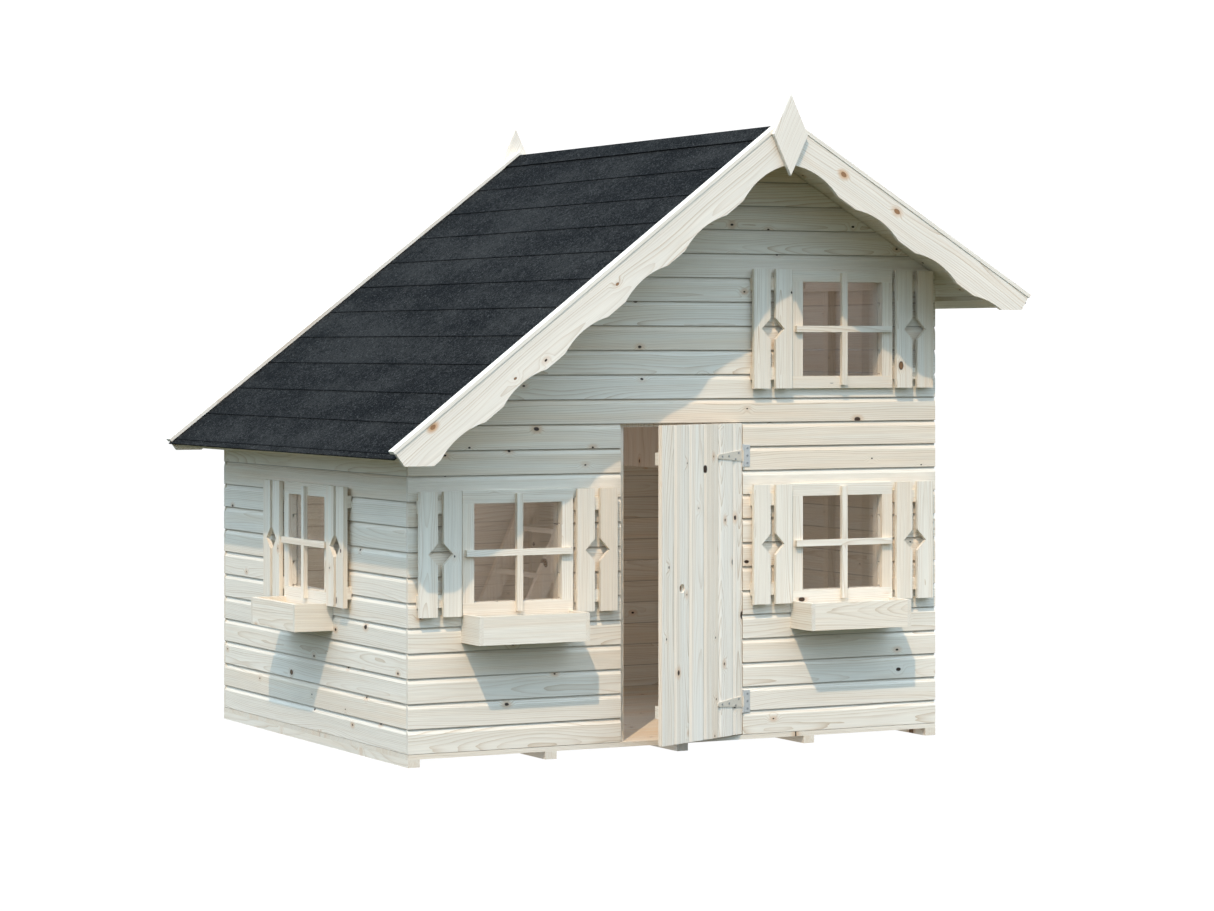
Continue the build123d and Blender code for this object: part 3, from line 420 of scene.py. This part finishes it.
def wood(
    name,
    nodes,
    lay,
    other=None,
    where=None,
    seed=0.0,
    warmth=0.1,
    figure=0.6,
    knots=0.45,
    brown=0.0,
    joint=0.0,
    tint=None,
    felt=None,
):
    """One wood material for CAD nodes. other is a second lay, used where the mask where is 1. joint
    is how dark the line between neighbouring boards is. felt is the direction of faces under black
    felt."""
    material, g, shader = fresh(name)
    coordinates = g.node("ShaderNodeTexCoord")
    place = coordinates.outputs["Object"]
    local, board = lay_coordinates(g, place, lay)
    grain = tuple(lay.along)
    if other:
        mask = beyond(g, place, *where)
        other_local, other_board = lay_coordinates(g, place, other)
        other_board = g.vector("ADD", other_board, (3.7, 11.1, 0.0))
        local = g.switch(mask, local, other_local)
        board = g.switch(mask, board, other_board)
        grain = g.switch(mask, tuple(lay.along), tuple(other.along))
    board = g.vector("ADD", board, (seed * 3.1 + 0.37, seed * 1.3 + 0.19, seed * 0.7 + 0.71))
    softwood = g.node("ShaderNodeGroup", node_tree=SOFTWOOD)
    g.plug(softwood.inputs["Local"], local)
    g.plug(softwood.inputs["Board"], board)
    softwood.inputs["Warmth"].default_value = warmth
    softwood.inputs["Figure"].default_value = figure
    softwood.inputs["Knots"].default_value = knots
    softwood.inputs["Brown"].default_value = brown
    facing = g.math("ABSOLUTE", g.vector("DOT_PRODUCT", coordinates.outputs["Normal"], grain))
    end = g.ramp(facing, 0.75, 0.95)
    color = g.blend(g.times(end, END_SHARE), softwood.outputs["Color"], WOOD_END)
    if joint:
        half = lay.pitch[1] / 2
        aside = g.math("ABSOLUTE", g.split(local)[1])
        line = g.ramp(aside, half - JOINT_EDGES[0], half - JOINT_EDGES[1], 0.0, joint)
        color = g.blend(line, color, WOOD_JOINT)
    # tint multiplies the colour: painted light on the door leaf, painted shade on the loft guard, a faint
    # colour cast on the trims
    if tint:
        color = g.blend(1.0, color, tint, "MULTIPLY")
    if felt:
        faced = g.vector("DOT_PRODUCT", coordinates.outputs["Normal"], felt)
        color = g.blend(g.math("GREATER_THAN", faced, 0.9), color, FELT)
    g.plug(shader.inputs["Base Color"], color)
    g.plug(shader.inputs["Roughness"], softwood.outputs["Roughness"])
    shader.inputs["Specular IOR Level"].default_value = 0.32
    bump(g, shader, softwood.outputs["Height"], GRAIN_RELIEF)
    put(material, *nodes)


def slope_directions(side):
    """(down the roof slope, out of it)."""
    angle = LEFT_PITCH if side == "left" else RIGHT_PITCH
    out = -1.0 if side == "left" else 1.0
    return Vector((out * cos(angle), 0, -sin(angle))), Vector((out * sin(angle), 0, cos(angle)))


def rake_lay(side, start=ROOF_FRONT):
    """A board that runs down a roof slope, its face upright. start is its place in y."""
    down, normal = slope_directions(side)
    return Lay((RIDGE_X, start, RIDGE_Z), down, normal)


def deck_lay(side):
    """Level boards that lie on a roof slope, counted down from the ridge."""
    down, _ = slope_directions(side)
    return Lay((RIDGE_X, ROOF_FRONT, RIDGE_Z), Y, down, (None, PITCH, None))


def make_walls():
    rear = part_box("rear_wall_boards")[1].y
    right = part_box("right_wall_boards")[1].x
    walls = (
        ("front", X, WALL_LEFT, WALL_FRONT),
        ("rear", X, WALL_LEFT, rear),
        ("left", Y, WALL_LEFT, WALL_FRONT),
        ("right", Y, right, WALL_FRONT),
    )
    for number, (side, along, x, y) in enumerate(walls):
        lay = Lay((x, y, DECK_TOP), along, Z, (None, PITCH, None))
        wood("wall_" + side, [side + "_wall_boards"], lay, seed=1 + number, knots=0.52, joint=0.6)


def make_base_and_frame():
    """The pitches of the timbers' grids only have to keep one timber from the next."""
    corner = (WALL_LEFT, WALL_FRONT, 0)
    deck = Lay(corner, X, Y, (None, PITCH, None))
    joists = Lay(corner, Y, X, (None, 0.5, None))
    wood("floor_boards", ["floor_boards"], deck, seed=5, warmth=0.28)
    wood("floor_joists", ["floor_joists"], joists, seed=6)
    posts = Lay((-3, -3, 0), Z, X, (None, 0.23, 0.31))
    rails = Lay((0, 0, DECK_TOP), Y, X, (None, 0.3, 0.2))
    wood("posts", ["wall_posts"], posts, seed=7, warmth=0.3)
    wood("plates", ["eave_plates", "ridge_beam"], rails, seed=8, warmth=0.3)
    slopes = (rake_lay("left"), rake_lay("right"), ((RIDGE_X, 0, 0), X, None))
    wood("slope_timbers", ["gable_battens", "rafters"], *slopes, seed=9, warmth=0.3)
    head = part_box("door_stops")[1].z
    door_posts = Lay((0, 0, head), Z, X, (None, 0.27, 0.05))
    lintel = Lay((0, 0, head), X, Z)
    wood("door_frame", ["door_frame"], door_posts, lintel, ((0, 0, head), Z, None), seed=10)
    wood("door_stops", ["door_stops"], door_posts, seed=11, knots=0.1)


def make_loft():
    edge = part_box("loft_guard")[0].x
    deck = Lay((edge, INSIDE, 0), X, Y, (None, PITCH, None))
    beams = Lay((0, 0, 0), Y, X, (None, 0.3, None))
    wood("loft_boards", ["loft_boards"], deck, seed=12, warmth=0.3)
    wood("loft_beams", ["loft_beams"], beams, seed=13, warmth=0.3)
    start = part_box("loft_guard")[0].y + GUARD_RAIL
    boards = Lay((0, start, 0), Z, Y, (None, PITCH, None))
    guard = (boards, Lay((0, 0, 0), Y, Z), ((edge + BOARD, 0, 0), X, None))
    # the guard's tint is painted shade
    wood("loft_guard", ["loft_guard"], *guard, seed=14, warmth=0.3, tint=GUARD_PAINTED_SHADE)
    lean = Vector((cos(LADDER_SLOPE), 0, sin(LADDER_SLOPE)))
    stringers = Lay((0, LADDER_Y, 0), lean, X, (None, None, 0.3))
    treads = Lay((0, 0, DECK_TOP), Y, X, (None, None, 0.17))
    wood("stringers", ["ladder_stringers"], stringers, seed=15, warmth=0.3)
    wood("treads", ["ladder_treads"], treads, seed=16, warmth=0.3)


def make_roof_wood():
    for side, seed in (("left", 17), ("right", 18)):
        boards = side + "_roof_boards"
        felt = tuple(slope_directions(side)[1])
        wood(boards, [boards], deck_lay(side), seed=seed, warmth=0.25, knots=0.3, felt=felt)
    split = ((RIDGE_X, 0, 0), X, None)
    eaves = (deck_lay("left"), deck_lay("right"), split)
    wood("eave_battens", ["eave_battens"], *eaves, seed=24, warmth=0.15)
    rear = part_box("rear_bargeboards")[1].y
    for name, node, start, seed, knots, figure in (
        ("bargeboards_front", "front_bargeboards", ROOF_FRONT, 19, 0.6, 0.75),
        ("bargeboards_rear", "rear_bargeboards", rear, 20, 0.6, 0.75),
        ("laths", "rake_laths", ROOF_FRONT, 21, 0.05, 0.4),
    ):
        wood(
            name,
            [node],
            rake_lay("left", start),
            rake_lay("right", start),
            split,
            seed=seed,
            warmth=-0.08,
            figure=figure,
            knots=knots,
            brown=0.65,
            tint=TRIM_TINT,
        )
    low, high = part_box("finials")
    aside, up = FINIAL_GRAIN
    tilt = Vector((aside, 0, up))
    across = Vector((up, 0, -aside))
    both = Lay((low + high) / 2, tilt, across, (None, None, high.y - low.y))
    wood("finials", ["finials"], both, seed=22, warmth=-0.08, knots=0.0, tint=TRIM_TINT)


def make_windows():
    for number, name in enumerate(("front_left", "front_right", "front_upper", "side")):
        low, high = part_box(name + "_pane")
        centre = (low + high) / 2
        flat = Y if name == "side" else X
        seed = 30 + 5 * number
        upright = Lay(centre - 0.1 * flat, Z, flat, (None, 0.2, None))
        level = Lay(centre - 0.2 * Z, flat, Z, (None, 0.4, None))
        split = (centre, Z, high.z - centre.z - PANE_LAP)
        wood(name + "_casing", [name + "_casing"], upright, level, split, seed=seed, warmth=0.05, knots=0.75)
        wood(name + "_frame", [name + "_inner_frame"], upright, level, split, seed=seed + 1, warmth=0.2)
        bars = (Lay(centre, flat, Z), Lay(centre, Z, flat), (centre, Z, MUNTIN_HALF))
        wood(name + "_muntins", [name + "_muntins"], *bars, seed=seed + 2, knots=0.15)
        boards = Lay(centre - SHUTTER_REACH * flat, Z, flat, (None, PITCH, None))
        wood(name + "_shutters", [name + "_shutter_boards"], boards, seed=seed + 3, warmth=0.0, knots=0.4)
    battens = Lay((-3, -3, 0), X, Z, (0.2, 0.15, None))
    wood("shutter_battens", ["shutter_battens"], battens, seed=25)


def make_planters():
    for number, name in enumerate(("front_left", "front_right", "side")):
        low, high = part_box(name + "_planter")
        long, short = (Y, X) if name == "side" else (X, Y)
        front = Lay(low, long, Z, (None, None, 0.05))
        ends = Lay(low, short, Z, (None, None, 0.2))
        split = ((low + high) / 2, long, long.dot(high - low) / 2 - BOARD)
        wood(name + "_planter", [name + "_planter"], front, ends, split, seed=60 + number, warmth=0.12)


def make_door():
    """The leaf stands open at rest, so its lays turn with it."""
    along = Vector((cos(DOOR_OPEN), sin(DOOR_OPEN), 0))
    edge = HINGE - along * DOOR_WIDTH
    grid = edge + along * (FIRST_DOOR_BOARD - DOOR_PITCH)
    planks = Lay(grid, Z, along, (None, DOOR_PITCH, None))
    wood(
        "door_planks",
        ["door_planks"],
        planks,
        seed=70,
        warmth=0.02,
        figure=0.75,
        knots=0.8,
        brown=-0.15,
        joint=0.5,
        # this tint is painted light on the leaf
        tint=DOOR_PAINTED_LIGHT,
    )
    wood("door_ledges", ["door_ledges"], Lay(edge, along, Z, (None, 0.4, None)), seed=71)
    slant = Z * BRACE_SLANT[1] - along * BRACE_SLANT[0]
    wood("door_brace", ["door_brace"], Lay(edge, slant, along), seed=72)


# ---------------------------------------------------------------- shingles, steel, glass
def make_shingles():
    for side in ("left", "right"):
        material, g, shader = fresh(side + "_shingles")
        down, _ = slope_directions(side)
        eave = Vector((RIDGE_X, ROOF_FRONT, RIDGE_Z)) + down * LOWEST_BUTT[side]
        place = g.node("ShaderNodeTexCoord").outputs["Object"]
        offset = g.vector("SUBTRACT", place, tuple(eave))
        rise = g.vector("DOT_PRODUCT", offset, tuple(-down))
        run = g.vector("DOT_PRODUCT", offset, tuple(Y))
        shingle_color(g, shader, place, rise, run)
        put(material, side + "_shingles")
    material, g, shader = fresh("ridge_cap")
    place = g.node("ShaderNodeTexCoord").outputs["Object"]
    parts = g.split(place)
    shingle_color(g, shader, place, parts[0], parts[1])
    put(material, "ridge_cap")


def shingle_color(g, shader, place, rise, run):
    """Mineral granules on dark felt, with broad lighter drifts along the courses. rise is up the
    slope from the lowest butt edge and run is back from the front edge."""
    course = g.math("FLOOR", g.math("DIVIDE", rise, COURSE))
    odd = g.math("FLOORED_MODULO", course, 2.0)
    joints = [g.mix(odd, even_joint, odd_joint) for even_joint, odd_joint in zip(*SHINGLE_JOINTS)]
    strip = g.math("ADD", *[g.math("GREATER_THAN", run, joint) for joint in joints])
    lot = g.split(g.dice(g.combine(course, strip, 4.0)))
    drift = g.noise(g.combine(g.times(rise, 6.0), g.times(run, 2.6), 1.7), detail=4.0)
    blotch = g.noise(g.combine(g.times(rise, 34.0), g.times(run, 20.0), 3.1), detail=3.0)
    grains, grain_color = g.cells(place, 230.0)
    sparkle = g.split(grain_color)[0]
    fine = g.noise(place, scale=260.0, detail=3.0, roughness=0.7)
    speck = g.noise(place, scale=120.0, detail=2.0, roughness=0.8)
    level = g.plus(g.swing(drift, 2.6), 0.42)
    level = g.plus(level, g.swing(blotch, 1.5))
    level = g.plus(level, g.swing(lot[0], 0.18))
    level = g.plus(level, g.swing(speck, 5.2))
    level = g.plus(level, g.swing(fine, 1.1), clamp=True)
    color = g.blend(level, GRANULE_DARK, GRANULE_LIGHT)
    color = g.blend(g.times(g.ramp(sparkle, 0.90, 0.99), 0.6), color, GRANULE_BRIGHT)
    butt = g.math("FLOORED_MODULO", rise, COURSE)
    # painted shade: a dark band just above every course's butt edge
    color = g.blend(g.ramp(butt, 0.0, BUTT_SHADE_WIDTH, 0.8, 0.0), color, BUTT_PAINTED_SHADE)
    g.plug(shader.inputs["Base Color"], color)
    g.plug(shader.inputs["Roughness"], g.plus(0.78, g.times(fine, 0.2)))
    shader.inputs["Specular IOR Level"].default_value = 0.06
    bump(g, shader, g.plus(g.times(grains, -1.0), g.times(fine, 1.5)), 0.0012)


def make_steel():
    """Zinc-coated steel. The straps are duller and warmer than the plates."""
    zinc("galvanised_plates", 0.5, (0.61, 0.60, 0.58), (0.83, 0.82, 0.79), "hinge_plates", "hinge_pins")
    zinc("galvanised_straps", 0.08, (0.66, 0.59, 0.49), (0.84, 0.76, 0.64), "hinge_straps")
    material, g, shader = fresh("screw_steel")
    place = g.node("ShaderNodeTexCoord").outputs["Object"]
    cloud = g.noise(place, scale=400.0, detail=2.0)
    g.plug(shader.inputs["Base Color"], g.blend(cloud, (0.34, 0.34, 0.34), (0.58, 0.58, 0.57)))
    shader.inputs["Metallic"].default_value = 0.8
    g.plug(shader.inputs["Roughness"], g.plus(0.35, g.times(cloud, 0.2)))
    put(material, "hinge_plate_screws", "hinge_strap_screws")


def zinc(name, metallic, dull, bright, *nodes):
    """Faint crystal spangle, dull clouds and fine brushing."""
    material, g, shader = fresh(name)
    place = g.node("ShaderNodeTexCoord").outputs["Object"]
    _, spangle = g.cells(place, 190.0)
    flake = g.split(spangle)
    cloud = g.noise(place, scale=30.0, detail=3.0)
    scratch = g.noise(g.vector("MULTIPLY", place, (900.0, 900.0, 60.0)), detail=2.0)
    level = g.plus(g.times(flake[0], 0.25), g.times(cloud, 0.6), clamp=True)
    g.plug(shader.inputs["Base Color"], g.blend(level, dull, bright))
    shader.inputs["Metallic"].default_value = metallic
    rough = g.plus(0.34, g.times(flake[1], 0.14))
    g.plug(shader.inputs["Roughness"], g.plus(rough, g.times(scratch, 0.08)))
    bump(g, shader, g.plus(scratch, g.times(flake[2], 0.4)), 0.00008)
    put(material, *nodes)


def make_glass():
    """Clear glazing, faintly uneven, with a little haze."""
    material, g, shader = fresh("glazing")
    place = g.node("ShaderNodeTexCoord").outputs["Object"]
    wave = g.noise(place, scale=6.0, detail=1.0)
    haze = g.noise(place, scale=3.0, detail=3.0)
    g.plug(shader.inputs["Base Color"], g.blend(haze, (0.68, 0.71, 0.74), (0.84, 0.87, 0.90)))
    shader.inputs["Roughness"].default_value = 0.03
    shader.inputs["IOR"].default_value = 1.45
    shader.inputs["Transmission Weight"].default_value = 1.0
    shader.inputs["Alpha"].default_value = 0.35
    bump(g, shader, wave, 0.0015)
    put(material, "front_left_pane", "front_right_pane", "front_upper_pane", "side_pane")


# ---------------------------------------------------------------- stage, light and camera
def plane(name, low, high, height, color, glow):
    """A level rectangle on the stage, from one corner to the other."""
    mesh = bpy.data.meshes.new(name)
    corners = ((low.x, low.y), (high.x, low.y), (high.x, high.y), (low.x, high.y))
    mesh.from_pydata([(x, y, height) for x, y in corners], [], [(0, 1, 2, 3)])
    made = bpy.data.objects.new(name, mesh)
    bpy.context.collection.objects.link(made)
    material, _, shader = fresh(name)
    shader.inputs["Base Color"].default_value = (*color, 1)
    shader.inputs["Roughness"].default_value = 1.0
    shader.inputs["Specular IOR Level"].default_value = 0.0
    shader.inputs["Emission Color"].default_value = (1, 1, 1, 1)
    shader.inputs["Emission Strength"].default_value = glow
    mesh.materials.append(material)
    return made


def make_stage():
    """A white floor that the camera sees, a darker one under it that only bounces light, and a
    faint glow under the joists."""
    far = Vector((FLOOR_REACH, FLOOR_REACH))
    seen = plane("floor", -far, far, 0.0, (0.02, 0.02, 0.02), 1.0)
    seen.visible_diffuse = False
    seen.visible_glossy = False
    seen.visible_transmission = False
    seen.visible_shadow = False
    low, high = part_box("floor_boards")
    for unseen in (
        plane("floor_bounce", -far, far, -0.001, (0.055, 0.055, 0.028), 0.0),
        plane("joist_glow", low, high, -0.0005, (0.1, 0.1, 0.1), 0.38),
    ):
        unseen.visible_camera = False
        unseen.visible_shadow = False


def make_sun():
    sun = bpy.data.objects.new("sun", bpy.data.lights.new("sun", "SUN"))
    bpy.context.collection.objects.link(sun)
    sun.rotation_euler = Vector(SUN_TOWARDS).to_track_quat("Z", "Y").to_euler()
    sun.data.energy = SUN_STRENGTH
    sun.data.color = SUN_COLOR
    sun.data.angle = SUN_ANGLE


def make_sky():
    """Bluish light that grows towards the zenith, and a white backdrop for the camera alone."""
    world = bpy.data.worlds.new("studio")
    bpy.context.scene.world = world
    world.use_nodes = True
    world.node_tree.nodes.clear()
    g = Graph(world.node_tree)
    sky = g.node("ShaderNodeBackground")
    sky.inputs["Color"].default_value = (*SKY_COLOR, 1)
    height = g.math("MAXIMUM", g.split(g.node("ShaderNodeTexCoord").outputs["Generated"])[2], 0.0)
    g.plug(sky.inputs["Strength"], g.math("MULTIPLY_ADD", height, SKY_RISE, SKY_LOW))
    backdrop = g.node("ShaderNodeBackground")
    backdrop.inputs["Color"].default_value = (1, 1, 1, 1)
    backdrop.inputs["Strength"].default_value = BACKDROP
    choose = g.node("ShaderNodeMixShader")
    g.plug(choose.inputs[0], g.node("ShaderNodeLightPath").outputs["Is Camera Ray"])
    g.plug(choose.inputs[1], sky.outputs[0])
    g.plug(choose.inputs[2], backdrop.outputs[0])
    g.plug(g.node("ShaderNodeOutputWorld").inputs["Surface"], choose.outputs[0])


def make_room_light():
    """Two soft lamps inside, unseen, for the daylight that the boards scatter about."""
    low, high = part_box("floor_boards")
    middle = (low + high) / 2
    for name, aside, height, power in LAMPS:
        lamp = bpy.data.objects.new(name, bpy.data.lights.new(name, "POINT"))
        bpy.context.collection.objects.link(lamp)
        lamp.location = (middle.x + aside, middle.y + LAMP_BEHIND, height)
        lamp.data.energy = power
        lamp.data.color = LAMP_COLOR
        lamp.data.shadow_soft_size = LAMP_SIZE
        lamp.visible_camera = False
        lamp.visible_glossy = False
        lamp.visible_transmission = False


def make_camera():
    camera = bpy.data.objects.new("camera", bpy.data.cameras.new("camera"))
    bpy.context.collection.objects.link(camera)
    camera.location = CAMERA_PLACE
    camera.rotation_euler = (radians(90.0), 0.0, CAMERA_TURN)
    camera.data.lens = CAMERA_LENS
    camera.data.sensor_width = CAMERA_SENSOR
    camera.data.shift_y = CAMERA_SHIFT
    camera.data.clip_start, camera.data.clip_end = CAMERA_CLIP
    bpy.context.scene.camera = camera


make_camera()
make_sun()
make_sky()
make_room_light()
make_stage()
make_walls()
make_base_and_frame()
make_loft()
make_roof_wood()
make_windows()
make_planters()
make_door()
make_shingles()
make_steel()
make_glass()

scene = bpy.context.scene
scene.view_settings.view_transform = "Standard"
scene.view_settings.look = "None"
